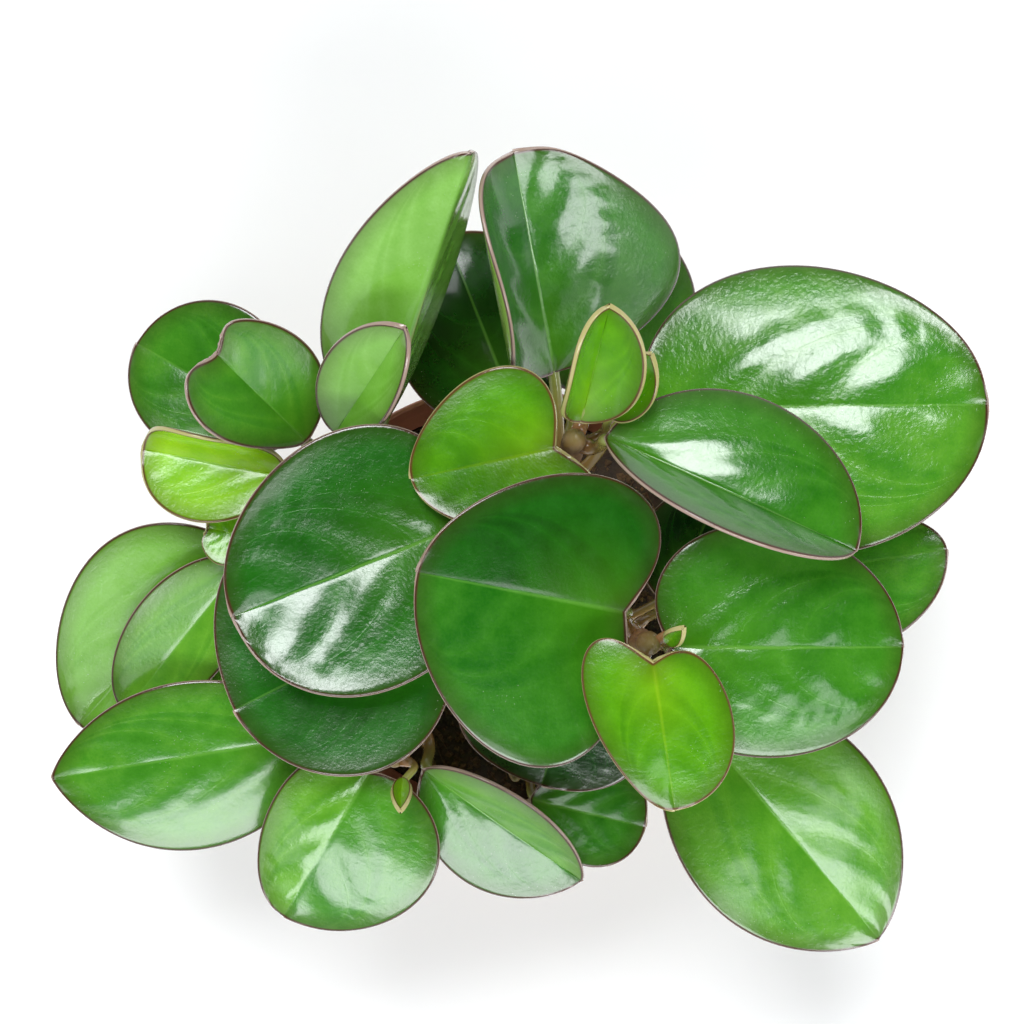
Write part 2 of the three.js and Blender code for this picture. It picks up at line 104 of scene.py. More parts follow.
# %% Leaves at the back
LEAVES = [
    leaf("left_back_outer", "left_back", 116, (-54, 46, 130), (-95, 70, 128), (19, 22),
         tone=(0.5, 0.48), quilt=0.25, broad=0.1, arch=3, rise=(-2, 8)),
    leaf("left_back_inner", "left_back", 134, (-50, 44, 141), (-76, 70, 160), (17, 18),
         tone=(0.5, 0.54), quilt=0.12, broad=(0.4, -0.05), notch=7, rise=(34, 4)),
    leaf("left_back_small", "left_back", 136, (-42, 46, 144), (-23, 71, 175), (13, 11),
         tone=0.83, quilt=0.2, rise=(5, 34), curl=(10, 0)),
    # back_tall: its pale tone is partly painted sheen.
    leaf("back_tall", "left_back", 122, (-31, 48, 134), (-7, 113, 186), (23, 22), tone=0.87,
         quilt=0.5, broad=(-0.25, -0.1), point=(1.25, 1.1), arch=2, rise=(6, -80),
         curl=(-12, 0)),
    # back_shaded: its dark tone is painted shade.
    leaf("back_shaded", "back", 110, (6, 48, 113), (-14, 98, 130), (24, 24), tone=(0.08, 0.1)),
    leaf("back_broad", "back", 130, (14, 62, 137), (3, 117, 170), (31, 37), tone=(0.32, 0.4),
         quilt=0.7, broad=(0, -0.4), notch=2, point=(0.95, 1.2), arch=2, rise=(30, -4),
         curl=(84, -20)),
    leaf("back_lower", "back", 112, (20, 58, 120), (17, 113, 142), (17, 32), tone=0.46,
         broad=(0, -0.35), arch=2, rise=(0, -6), curl=(0, -10)),
    leaf("crown_young", "back", 168, (20, 48, 180), (26, 74, 212), (13.5, 14), tone=0.4,
         young=True, quilt=0.1, broad=0.1, point=(1.3, 1.2), arch=-2, rise=(38, 12),
         curl=(60, 30)),
    leaf("crown_young_small", "back", 160, (27, 49, 177), (37, 64, 187), (7, 8), tone=0.32,
         young=True, quilt=0.1, point=(1.3, 1.2), rise=(10, 30)),
    leaf("crown_left", "back", 154, (14, 41.5, 170), (-22, 34, 165), (19, 22), tone=(0.25, 0.27),
         young=True, quilt=0.2, broad=(-0.2, -0.3), lobe=(14, 5), point=(1, 0.8), rise=(0, 4),
         curl=(8, 10)),
]
print("leaves so far:", len(LEAVES))

# %% [markdown]
# The largest leaves lie in the middle and on the right, over each other like tiles. A
# view from straight above shows no heights, so they were worked out from what covers
# what.

# %% Leaves on the right and in the middle
LEAVES += [
    leaf("right_upper", "back", 164, (26, 44, 177), (87, 16, 182), (26, 15), tone=(0.42, 0.4),
         quilt=0.5, point=(1.1, 1.3), arch=4, rise=(-6, 52), curl=(-18, 0)),
    leaf("right_back_large", "back", 124, (38, 52, 141), (125, 53, 152), (37, 38),
         tone=(0.51, 0.55), quilt=1, broad=(-0.12, 0), lobe=4, notch=1, point=(1.05, 1), arch=5,
         rise=(-2, 4), curl=(-14, -12), wave=1.2),
    leaf("centre_large", "right", 156, (31, 1, 173), (-20, 11, 183), (41, 31), tone=(0.36, 0.19),
         quilt=0.1, broad=(-0.2, -0.25), lobe=(8, 11), point=(1, 0.8), arch=1, rise=(0, 4),
         curl=(-4, -5)),
    leaf("heart_bright", "right", 168, (37.5, -11, 184), (43, -47, 181), (17.5, 17),
         tone=(0.32, 0.3), young=True, quilt=0.25, broad=(0.05, -0.35), lobe=(5, 13),
         point=(0.95, 0.8), arch=1, rise=(8, 4), curl=(-20, -16)),
    leaf("bud_right", "right", 172, (41, -6, 184), (44.5, -2, 194), (2.8, 2.8), tone=0.35,
         young=True, point=(1.6, 1.3), rise=35, wave=0),
    leaf("right_round", "right", 152, (43, -8, 167), (101, -8, 164), (31, 28), tone=(0.42, 0.46),
         quilt=0.7, broad=(-0.1, 0), lobe=9, point=(1, 0.9), arch=2, rise=(4, -2),
         curl=(-10, -8), wave=0.9),
    # right_shaded: its dark tone is painted shade.
    leaf("right_shaded", "right", 138, (43, 2, 149), (56, 31, 152), (14, 15), tone=0.1,
         rise=(2, 4)),
    # right_lower: its tone is partly painted sheen.
    leaf("right_lower", "right", 118, (53, 6, 127), (117, 16, 130), (15, 24), tone=0.5),
    leaf("front_right_pointed", "right", 122, (48, -25, 132), (100, -87, 122), (28, 28),
         tone=(0.61, 0.59), quilt=0.5, point=(1.4, 1.2), arch=4, rise=6, curl=(-6, -8)),
    leaf("left_centre_large", "centre", 146, (-10, 22, 160), (-68, -1, 160), (32, 34),
         tone=(0.27, 0.25), quilt=0.6, broad=(0.05, -0.15), lobe=8, notch=1, point=(1.05, 0.85),
         arch=-2, rise=(4, 8), curl=(6, 4), wave=0.9),
    leaf("left_centre_lower", "centre", 130, (-14, 2, 143), (-68, -25, 146), (31, 38), tone=0.24,
         quilt=0.15, broad=(0, 0.1), rise=(0, -2), curl=4, wave=0.8),
    leaf("centre_lower", "right", 114, (22, -10, 123), (11, -47, 118), (24, 27), tone=0.1,
         broad=(0.1, 0.2), point=(0.95, 1.2)),
]
print("leaves so far:", len(LEAVES))

# %% [markdown]
# At the left and in front the leaves are lower and smaller, and two of them are hardly
# out of the bud. Small leaves could be small copies of large ones, but young ones are
# narrower and more folded.

# %% Leaves at the left and in front
LEAVES += [
    leaf("left_bright", "left_back", 126, (-55, 35, 139), (-92, 42, 141), (16, 18),
         tone=(0.67, 0.78), young=True, quilt=0.2, broad=0.15, point=(0.95, 1.2), rise=(4, 36),
         curl=(4, 70)),
    leaf("left_young", "left", 124, (-64, 19, 131), (-78, 22, 132), (9, 8), tone=0.5, young=True,
         notch=2, rise=(10, 6), wave=0.2),
    # left_pale: its pale tone is partly painted sheen.
    leaf("left_pale", "left", 108, (-70, 17, 117), (-114, -32, 101), (26, 27), tone=0.76,
         broad=(0, -0.15), rise=(0, 4)),
    leaf("left_narrow", "left", 114, (-67, 13, 122), (-101, -28, 107), (13, 15), tone=0.64,
         quilt=0.25, rise=(8, 4)),
    leaf("front_left_pointed", "front_left", 108, (-46, -33, 118), (-119, -45, 117), (26, 20),
         tone=0.52, quilt=0.3, point=(1.5, 1.3), arch=2, rise=(-5, 5), curl=(-12, 0)),
    leaf("front_round", "front_left", 120, (-34, -42, 132), (-57, -81, 122), (29, 18),
         tone=(0.5, 0.64), quilt=0.4, broad=-0.1, lobe=(4, 5), point=(0.95, 1), arch=2,
         rise=(-5, 0)),
    leaf("front_young", "front_left", 132, (-25, -43, 142), (-25, -50, 156), (3, 3), tone=0.6,
         young=True, point=(1.5, 1.3), rise=30, wave=0),
    leaf("front_glossy", "front_left", 114, (-20, -42, 124), (22, -72, 117), (13, 19),
         tone=(0.62, 0.4), quilt=0.5, point=(1.4, 1.2), arch=2, rise=(44, -12)),
    leaf("front_dark", "front", 108, (8, -51, 112), (39, -59, 108), (15, 14), tone=0.42,
         broad=0.15, point=(0.95, 1.2)),
]
print("leaves:", len(LEAVES))

# %% [markdown]
# A stem rises straight out of the soil and then leans towards the light. Its line is a
# smooth curve through a few points. Blender's own curves could do it, but the stalks must
# know where the stem is at a given height, so the curve is worked out here.

# %% Stem lines


def through_points(points, share):
    """A point of the smooth curve through all points, share from 0 to 1 along it."""
    points = np.asarray(points, float)
    position = share * (len(points) - 1)
    first = min(int(position), len(points) - 2)
    weight = position - first
    p1, p2 = points[first], points[first + 1]
    p0 = points[first - 1] if first > 0 else 2 * p1 - p2
    p3 = points[first + 2] if first + 2 < len(points) else 2 * p2 - p1
    gap0, gap1, gap2 = (sqrt(np.linalg.norm(b - a)) for a, b in ((p0, p1), (p1, p2), (p2, p3)))
    lead = ((p1 - p0) / gap0 - (p2 - p0) / (gap0 + gap1) + (p2 - p1) / gap1) * gap1
    trail = ((p2 - p1) / gap1 - (p3 - p1) / (gap1 + gap2) + (p3 - p2) / gap2) * gap1
    square = -3 * p1 + 3 * p2 - 2 * lead - trail
    cube = 2 * p1 - 2 * p2 + lead + trail
    return p1 + lead * weight + square * weight**2 + cube * weight**3


def stem_line(stem, count=60):
    (x, y), bend, apex = STEMS[stem]
    upright = [(x, y, SOIL_TOP + rise) for rise in (-STEM_DEPTH, -STEM_DEPTH / 2, 0, STEM_STRAIGHT)]
    points = upright + [bend, apex]
    return np.array([through_points(points, i / (count - 1)) for i in range(count)])


def unit(vector):
    vector = np.asarray(vector, float)
    return vector / np.linalg.norm(vector)


def stem_at(stem, height):
    """The stem's axis at a height, and the way it runs there."""
    line = stem_line(stem, 400)
    i = min(int(np.searchsorted(line[:, 2], height)), len(line) - 2)
    return line[i], unit(line[i + 1] - line[i])


print("stem tops, mm:", [int(stem_line(stem)[-1, 2]) for stem in STEMS])

# %% [markdown]
# Every mesh goes through one short function, which also stores values on its points, such
# as how far along the leaf a point lies. The materials read them, so that veins and
# margins follow the leaf. UV maps could do this too, but named values need no unwrapping.

# %% From points to a piece
piece_triangles = {}


def add_object(name, data):
    thing = bpy.data.objects.new(name, data)
    bpy.context.collection.objects.link(thing)
    return thing


def make_piece(name, points, faces, values, material, node_names):
    mesh = bpy.data.meshes.new(name)
    mesh.from_pydata((np.asarray(points) * MM).tolist(), [], faces)
    mesh.validate()
    for key, numbers in values.items():
        layer = mesh.attributes.new(key, "FLOAT", "POINT")
        layer.data.foreach_set("value", np.asarray(numbers, np.float32))
    mesh.polygons.foreach_set("use_smooth", [True] * len(mesh.polygons))
    mesh.materials.append(material)
    piece = add_object(name, mesh)
    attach(piece, "root")
    if node_names:
        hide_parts(*node_names)
    piece_triangles[name] = sum(len(f) - 2 for f in faces)
    print(name, "triangles:", piece_triangles[name])
    return piece


print("one mm in metres:", MM)

# %% [markdown]
# Stems, stalks and soil fibres are all round rods: a ring of points is carried along a
# line, and faces join each ring to the next. A Blender curve with a bevel would give the
# same rod, but couldn't carry the stored values.

# %% Rods


def ring_faces(count, sides):
    """Faces that join each ring of points to the next."""
    faces = []
    for i in range(count - 1):
        for side in range(sides):
            a, b = i * sides + side, i * sides + (side + 1) % sides
            faces.append((a, b, b + sides, a + sides))
    return faces


def add_shape(points, faces, more_points, more_faces):
    """Add one shape to the lists of a growing mesh."""
    offset = len(points)
    points += list(more_points)
    faces += [tuple(i + offset for i in face) for face in more_faces]


def swept(line, radii, sides, first_across):
    """Points and faces of a closed round rod along a line; rings turn with the line."""
    points = []
    across = unit(first_across)
    count = len(line)
    for i, (centre, radius) in enumerate(zip(line, radii)):
        forward = unit(line[min(i + 1, count - 1)] - line[max(i - 1, 0)])
        across = unit(across - forward * np.dot(across, forward))
        upward = np.cross(forward, across)
        for side in range(sides):
            angle = 2 * pi * side / sides
            points.append(centre + radius * (cos(angle) * across + sin(angle) * upward))
    faces = ring_faces(count, sides)
    faces.append(tuple(range(sides))[::-1])
    faces.append(tuple((count - 1) * sides + side for side in range(sides)))
    return points, faces


print("faces of a short rod:", len(swept(np.eye(3), (1, 1, 1), 12, (0, 0, 1))[1]))

# %% [markdown]
# Materials are networks of nodes, which could be wired by hand in the Shader Editor. In a
# script these helpers place a node, link what feeds it and give back its output, so that
# a network reads like a list of steps.

# %% Node helpers


def feed(node, feeds):
    """Link outputs to a node's inputs, or set plain values there."""
    for socket, value in feeds.items():
        if isinstance(value, bpy.types.NodeSocket):
            node.id_data.links.new(value, node.inputs[socket])
        else:
            node.inputs[socket].default_value = value


def put(tree, kind, feeds, **settings):
    node = tree.nodes.new(kind)
    for key, value in settings.items():
        setattr(node, key, value)
    feed(node, feeds)
    return node


def after(kind, feeds, **settings):
    """Place a node in the tree that the outputs feeding it are in."""
    fed = next(value for value in feeds.values() if isinstance(value, bpy.types.NodeSocket))
    return put(fed.id_data, kind, feeds, **settings)


def calc(operation, a, b=0.0, c=0.0):
    return after("ShaderNodeMath", {0: a, 1: b, 2: c}, operation=operation).outputs[0]


def times(a, b, plus=None):
    """The product of a and b, with plus added where it is given."""
    if plus is None:
        return calc("MULTIPLY", a, b)
    return calc("MULTIPLY_ADD", a, b, plus)


def stored(tree, key):
    return put(tree, "ShaderNodeAttribute", {}, attribute_name=key).outputs["Fac"]


print("node helpers are ready")

# %% [markdown]
# A finish is built up like paint: one colour lies over another, and a share says where it
# shows. The layers could be painted by hand. Here ramps make the shares from measures
# such as the distance to the margin.

# %% Ramps and layers


def blend(share, below, above):
    node = after("ShaderNodeMix", {0: share, 6: below, 7: above}, data_type="RGBA")
    return node.outputs[2]


def ramp(value, low, high):
    """0 below low, 1 above high, straight between."""
    feeds = {"Value": value, "From Min": low, "From Max": high}
    return after("ShaderNodeMapRange", feeds, clamp=True).outputs[0]


def fade(value, low, high):
    """1 below low, 0 above high."""
    return calc("SUBTRACT", 1.0, ramp(value, low, high))


def graded(value, stops):
    """A colour ramp through (place, colour) stops."""
    node = after("ShaderNodeValToRGB", {"Fac": value})
    band = node.color_ramp.elements
    for element, (position, colour) in zip(band, (stops[0], stops[-1])):
        element.position, element.color = position, colour
    for position, colour in stops[1:-1]:
        band.new(position).color = colour
    return node.outputs["Color"]


def layered(colour, layers):
    """Lay colours over each other, each with its own share."""
    for share, above in layers:
        colour = blend(share, colour, above)
    return colour


def noise(place, scale, detail, **more):
    feeds = {"Vector": place, "Scale": scale, "Detail": detail, **more}
    return after("ShaderNodeTexNoise", feeds).outputs[0]


def rgb(red, green, blue):
    return (red, green, blue, 1.0)


print("white is", rgb(1, 1, 1))

# %% [markdown]
# Effects that several materials share are built once, as node groups with named inputs
# and outputs, and each material uses them at its own scale. Copies of the nodes would do
# as well, but then a change would have to be made in each copy.

# %% Group helpers
NUMBER = "NodeSocketFloat"


def new_group(name, numbers, results):
    """A group with named inputs and outputs, its two ends and the place on the object."""
    tree = bpy.data.node_groups.new(name, "ShaderNodeTree")
    for key, value in numbers.items():
        socket = tree.interface.new_socket(key, in_out="INPUT", socket_type=NUMBER)
        socket.default_value = value
    for key in results:
        tree.interface.new_socket(key, in_out="OUTPUT", socket_type=NUMBER)
    given, result = tree.nodes.new("NodeGroupInput"), tree.nodes.new("NodeGroupOutput")
    place = put(tree, "ShaderNodeTexCoord", {}).outputs["Object"]
    return tree, given.outputs, result, place


def finish_group(result, feeds):
    """Link what a group puts out, and say how large it is."""
    feed(result, feeds)
    print(result.id_data.name, "has", len(result.id_data.nodes), "nodes")


def use(tree, group, **numbers):
    return put(tree, "ShaderNodeGroup", numbers, node_tree=group).outputs


print("group helpers are ready")

# %% [markdown]
# A peperomia leaf has a pale midrib, and a few side veins that leave it low down and
# sweep forwards in long arches. Between them the blade swells a little, like a quilt. The
# group finds the veins from the values stored on the leaf. A painted map could show them
# too, but would have to be drawn for each leaf.

# %% Group: leaf veins
VEIN_COUNT = 3.6
VEIN_BEND = 1.7
VEIN_REACH = 0.88
VEIN_OFFSET = 0.09

leaf_veins, given, result, place = new_group(
    "leaf veins",
    {"Count": VEIN_COUNT, "Bend": VEIN_BEND, "Reach": VEIN_REACH, "Offset": VEIN_OFFSET,
     "Wander": 0.03, "Width": 0.045},
    ("Vein", "Quilt", "Rib"),
)
tree = leaf_veins
along = stored(tree, "leaf_along")
share = stored(tree, "leaf_share")
wander = noise(place, 45.0, 2.0)
shift = times(calc("SUBTRACT", wander, 0.5), given["Wander"])
shift = times(stored(tree, "leaf_side"), given["Offset"], shift)
out = calc("MINIMUM", calc("DIVIDE", share, given["Reach"]), 0.98)
swing = calc("POWER", out, given["Bend"])
rest = calc("SUBTRACT", 1.0, swing)
start = calc("DIVIDE", calc("SUBTRACT", along, swing), rest)
start = calc("ADD", start, shift)
phase = calc("FRACT", times(calc("MAXIMUM", start, 0.0), given["Count"]))
near = calc("SUBTRACT", 0.5, calc("ABSOLUTE", calc("SUBTRACT", phase, 0.5)))
inside = times(fade(share, 0.6, VEIN_REACH), ramp(start, -0.01, 0.01))
inside = times(inside, fade(start, 0.7, 0.85))
on_vein = times(fade(near, 0.0, given["Width"]), inside)
on_vein = times(on_vein, times(stored(tree, "leaf_quilt"), 1.2, 0.15))
swell = times(calc("SINE", times(phase, pi)), inside)
width = times(along, -0.65, 1.0)
rib = fade(calc("DIVIDE", stored(tree, "leaf_out"), width), 0.2, 0.85)
finish_group(result, {"Vein": on_vein, "Quilt": swell, "Rib": rib})

# %% [markdown]
# Skin is never quite even. This group gives a fine pebbled height for the bump and a slow
# mottle for the colour. One noise could serve for both, but real skin has its pores and
# its patches at different sizes.

# %% Group: skin grain
skin_grain, given, result, place = new_group(
    "skin grain", {"Fine": 900.0, "Broad": 60.0}, ("Height", "Mottle"))
fine = noise(place, given["Fine"], 3.0)
pebble = after("ShaderNodeTexVoronoi", {"Vector": place, "Scale": given["Fine"]})
broad = noise(place, given["Broad"], 4.0)
height = times(pebble.outputs["Distance"], 0.5, fine)
finish_group(result, {"Height": height, "Mottle": ramp(broad, 0.3, 0.7)})

# %% [markdown]
# The waxy skin of a mature leaf is finely wrinkled, which breaks its reflections up.
# Wrinkles this small could be sculpted, but would need millions of faces, so they are a
# bump. Noise of two sizes gives the soft pebbling, and a third, stretched outwards from
# the midrib, the creases.

# %% Group: leaf wrinkles
leaf_wrinkles, given, result, place = new_group(
    "leaf wrinkles", {"Wrinkles": 780.0, "Ripples": 190.0, "Creases": 42.0}, ("Height",))
tree = leaf_wrinkles
wrinkle = noise(place, given["Wrinkles"], 2.0, Distortion=0.2)
ripple = noise(place, given["Ripples"], 2.0)
across = times(stored(tree, "leaf_along"), given["Creases"])
outwards = times(stored(tree, "leaf_out"), 0.18)
feeds = {"X": across, "Y": outwards, "Z": stored(tree, "leaf_side")}
crease = noise(after("ShaderNodeCombineXYZ", feeds).outputs[0], 1.0, 1.0)
height = times(ripple, 0.9, wrinkle)
height = times(crease, 0.5, height)
amount = times(stored(tree, "leaf_quilt"), 0.6, 0.16)
finish_group(result, {"Height": times(height, amount)})

# %% [markdown]
# Dust and grains of potting mix lie on the leaves as tiny pale specks. They could be
# scattered as objects, but are far too small for that. Each cell of a Voronoi pattern
# holds one speck, and a slow noise keeps them to some patches.

# %% Group: dust specks
dust_specks, given, result, place = new_group(
    "dust specks", {"Scale": 900.0, "Size": 0.10, "Patch": 0.60}, ("Speck",))
cells = after("ShaderNodeTexVoronoi", {"Vector": place, "Scale": given["Scale"]})
spot = calc("LESS_THAN", cells.outputs["Distance"], given["Size"])
patch = calc("GREATER_THAN", noise(place, 35.0, 2.0), given["Patch"])
finish_group(result, {"Speck": times(spot, patch)})

# %% [markdown]
# Leaf, stem, pot and soil all have an opaque skin with a shine that changes from patch to
# patch and a fine relief. Each material could be wired on its own, but with the same
# first and last steps they are easier to compare.

# %% Skins


def new_material(name):
    material = bpy.data.materials.new(name)
    material.use_nodes = True
    return material, material.node_tree, material.node_tree.nodes["Principled BSDF"]


def finish_skin(skin, colour, mottle, height, rough, span, strength, depth):
    """Give a skin its colour, a roughness that follows the mottle, and a bump."""
    feeds = {"Height": height, "Strength": strength, "Distance": depth}
    bump = after("ShaderNodeBump", feeds).outputs[0]
    feed(skin, {"Base Color": colour, "Roughness": times(mottle, span, rough), "Normal": bump})


print("skin steps are ready")

# %% [markdown]
# The leaf's finish is a waxy film over coloured flesh: a glossy Principled shader with a
# thin coat. The flesh gets its green from the leaf's tone, a yellow glow near the stalk,
# pale veins, a dark line along the margin and a pale rim line outside it, which is partly
# the rim's own colour and partly a painted glint. Vertex paint could hold these colours,
# but only as finely as the mesh.

# %% Leaf finish


def leaf_material(name, coat, flesh, rib_strength, rib_colour, glow_colour, margin_colour,
                  rim_colour_and_glint):
    material, tree, skin = new_material(name)
    veins = use(tree, leaf_veins)
    grain = use(tree, skin_grain, Fine=1400.0, Broad=230.0)
    specks = use(tree, dust_specks)["Speck"]
    along, share, edge = (stored(tree, key) for key in ("leaf_along", "leaf_share", "leaf_edge"))
    tone = times(grain["Mottle"], 0.07, stored(tree, "leaf_tone"))
    tone = times(grain["Height"], 0.07, tone)
    tone = times(veins["Quilt"], -0.07, tone)
    colour = graded(calc("SUBTRACT", tone, 0.06), flesh)
    glow = times(fade(along, 0.0, 0.6), fade(share, 0.0, 0.7))
    rib = times(veins["Rib"], times(along, -0.5, 1.0))
    strength = times(stored(tree, "leaf_quilt"), 0.55, 0.45)
    rib = times(rib, times(strength, rib_strength))
    dusk = times(fade(edge, 0.6, 6.0), 0.5)
    colour = layered(colour, [
        (times(glow, 0.45), glow_colour),
        (times(veins["Vein"], 0.04), rib_colour),
        (rib, rib_colour),
        (dusk, rgb(0.03, 0.028, 0.006)),
        (stored(tree, "leaf_under"), rgb(0.2, 0.34, 0.06)),
        (fade(edge, 0.45, 0.9), margin_colour),
        # Partly painted glint: a pale line right at the rim.
        (fade(edge, 0.05, 0.25), rim_colour_and_glint),
        (stored(tree, "leaf_stalk"), rgb(0.3, 0.1, 0.05)),
        (times(specks, 0.4), rgb(0.5, 0.52, 0.42)),
    ])
    wrinkles = use(tree, leaf_wrinkles)["Height"]
    height = times(grain["Height"], 0.12, wrinkles)
    height = times(veins["Vein"], -0.12, height)
    finish_skin(skin, colour, grain["Mottle"], height, rough=0.19, span=0.08, strength=1.0,
                depth=0.0002)
    feed(skin, {"Specular IOR Level": 0.34, "Coat Weight": coat, "Coat Roughness": 0.13})
    return material


print("leaf finish is ready")

# %% [markdown]
# Old leaves are deep green with a dull red margin, young ones yellow-green and less
# glossy with a paler rim. On both, the outermost pale line is partly painted glint. The
# network could be copied, but one function with two sets of colours keeps them alike.

# %% Leaf colours
# The palest mature stops hold some painted sheen as well as the leaves' own green.
MATURE_FLESH = [(0.0, rgb(0.003, 0.022, 0.002)), (0.3, rgb(0.01, 0.115, 0.003)),
                (0.5, rgb(0.045, 0.215, 0.01)), (0.7, rgb(0.125, 0.35, 0.022)),
                (0.85, rgb(0.18, 0.43, 0.055)), (1.0, rgb(0.26, 0.54, 0.11))]
YOUNG_FLESH = [(0.0, rgb(0.01, 0.09, 0.001)), (0.25, rgb(0.055, 0.23, 0.002)),
               (0.45, rgb(0.115, 0.37, 0.003)), (0.75, rgb(0.26, 0.56, 0.005)),
               (1.0, rgb(0.43, 0.7, 0.015))]
MATURE = leaf_material("mature leaf", 0.8, MATURE_FLESH, 0.85, rgb(0.15, 0.38, 0.05),
                       rgb(0.1, 0.34, 0.006), rgb(0.055, 0.02, 0.01), rgb(0.34, 0.24, 0.19))
YOUNG = leaf_material("young leaf", 0.4, YOUNG_FLESH, 0.33, rgb(0.4, 0.6, 0.02),
                      rgb(0.3, 0.54, 0.005), rgb(0.1, 0.04, 0.012), rgb(0.4, 0.36, 0.14))
print("leaf materials:", MATURE.name, YOUNG.name)

# %% [markdown]
# Laid flat, a blade is an oval with its own tip, lobes and widths. Each outline could be
# drawn by hand, but with one formula a few numbers shape each leaf, and a change reaches
# them all. The distance from each point to the margin is kept for the red-brown line
# there.

# %% Blade outline
STATIONS = 56
SHARES = np.array([0, 0.025, 0.06, 0.11, 0.18, 0.27, 0.36, 0.45, 0.54, 0.63, 0.72, 0.80, 0.87,
                   0.93, 0.965, 0.985, 0.996, 1.0])
TIP_DENT = 0.35
BASE_DENT = 0.3


def flat_point(row, length, side, turn, share):
    """A point laid flat: how far along the midrib and how far out from it."""
    lobe = row["lobe"][side]
    tip_dent = row["notch"] * exp(-((turn / TIP_DENT) ** 2))
    base_dent = lobe * exp((turn - pi) / BASE_DENT)
    reach = (length + lobe) / 2
    margin_along = length - reach + reach * cos(turn) - tip_dent + base_dent
    near_tip = (1 + cos(turn)) / 2
    point = row["point"][0] * near_tip + row["point"][1] * (1 - near_tip)
    width = row["half"][side] * (1 + row["broad"][side] * cos(turn))
    margin_out = width * max(sin(turn), 0) ** point
    rib_along = (length - row["notch"]) * near_tip
    return rib_along + share * (margin_along - rib_along), share * margin_out


def margin_distance(flat, outline):
    """How far each flat point lies from the nearest stretch of the outline."""
    run = np.diff(outline, axis=0)
    away = flat[..., None, :] - outline[:-1]
    share = np.clip((away * run).sum(-1) / np.maximum((run**2).sum(-1), 1e-9), 0, 1)
    return np.linalg.norm(away - share[..., None] * run, axis=-1).min(axis=-1)


print("points in half a sheet:", (STATIONS + 1) * len(SHARES))

# %% [markdown]
# A real blade is never flat: its halves rise from the midrib and curl, the midrib bows
# and is sunken, the margin ripples, and the skin swells between the side veins. Modifiers
# could bend a flat mesh, but each leaf needs its own mix. The relief is real, so that the
# light breaks on it.

# %% Bends and relief
RIPPLE_TURNS = 2.5
QUILT_HEIGHT = 1.1
GROOVE_DEPTH = 0.15
GROOVE_WIDTH = 0.6
FULL_HALF_WIDTH = 25


def bent_point(row, side, turn, share):
    """A point on the middle of the blade; side 0 is left and 1 is right."""
    base, tip = np.array(row["base"], float), np.array(row["tip"], float)
    length = dist(row["base"], row["tip"])
    forward = (tip - base) / length
    across = unit(np.cross((0, 0, 1), forward))
    above = np.cross(forward, across)
    along, out = flat_point(row, length, side, turn, share)
    start = radians(row["rise"][side])
    bend = radians(row["curl"][side]) / row["half"][side] + 1e-6
    sideways = (sin(start + bend * out) - sin(start)) / bend
    upwards = (cos(start) - cos(start + bend * out)) / bend
    bow = 4 * row["arch"] * along * (length - along) / length**2
    sign = 1 - 2 * side
    calm_ends = min(1.0, 3 * sin(turn))
    ripple = row["wave"] * calm_ends * share**2 * sin(RIPPLE_TURNS * turn + sign + length)
    point = base + forward * along + across * sign * sideways + above * (upwards + bow + ripple)
    return point, (along, sign * out)


def relief(row, side, turn, share, out):
    """How far the upper face stands over the plain sheet."""
    along = (1 + cos(turn)) / 2
    swing = min(share / VEIN_REACH, 0.98) ** VEIN_BEND
    start = (along - swing) / (1 - swing) + VEIN_OFFSET * side
    phase = (max(start, 0) * VEIN_COUNT) % 1.0
    inner = max(0.0, 1 - (share / VEIN_REACH) ** 3) * min(1, share * 5)
    small = min(1.0, row["half"][0] / FULL_HALF_WIDTH)
    quilt = row["quilt"] * QUILT_HEIGHT * small * sin(pi * phase) ** 2 * inner
    groove = GROOVE_DEPTH * small * exp(-((out / GROOVE_WIDTH) ** 2)) * (1 - 0.6 * along)
    return quilt * (1 - 0.4 * along) - groove


print("highest quilt, mm:", QUILT_HEIGHT, "deepest groove, mm:", GROOVE_DEPTH)

# %% [markdown]
# The blade is about a millimetre thick with a rounded rim. The same sheet is laid twice,
# above and below, and both close at the margin. A Solidify modifier does nearly this, but
# can't round the rim or give the two faces different relief. Points that fall together,
# as at the tip, are merged.

# %% Blade mesh
SMALL_LEAF = 32
RIM_START = 0.965
LOWER_RELIEF = 0.6


def blade_mesh(row):
    """Upper and lower sheet of one blade, and the stored values of their points."""
    size = 2, STATIONS + 1, len(SHARES)
    grid, flat, lift = np.zeros((*size, 3)), np.zeros((*size, 2)), np.zeros(size)
    for spot in np.ndindex(size):
        side, turn, share = spot[0], pi * spot[1] / STATIONS, SHARES[spot[2]]
        grid[spot], flat[spot] = bent_point(row, side, turn, share)
        lift[spot] = relief(row, side, turn, share, abs(flat[spot][1]))
    outline = np.vstack([flat[0, ::-1, -1], flat[1, :, -1]])
    outs = np.abs(flat[..., 1])
    finer = max(1.0, SMALL_LEAF / dist(row["base"], row["tip"]))
    edges = margin_distance(flat, outline) * finer
    normal = np.cross(np.gradient(grid, axis=1), np.gradient(grid, axis=2))
    normal[0] *= -1
    normal /= np.maximum(np.linalg.norm(normal, axis=-1, keepdims=True), 1e-9)
    normal[:, 0] = normal[:, 1]
    normal[:, -1] = normal[:, -2]
    middle = normal[:, :, 0].mean(axis=0)
    normal[:, :, 0] = middle / np.linalg.norm(middle, axis=-1, keepdims=True)
    rim = np.sqrt(np.maximum(0, 1 - np.maximum(0, (SHARES - RIM_START) / (1 - RIM_START)) ** 2))
    half_thick = BLADE_THICKNESS / 2 * rim
    upper = grid + normal * (half_thick + lift * rim)[..., None]
    lower = grid - normal * (half_thick - LOWER_RELIEF * lift * rim)[..., None]
    return upper, lower, outs, edges


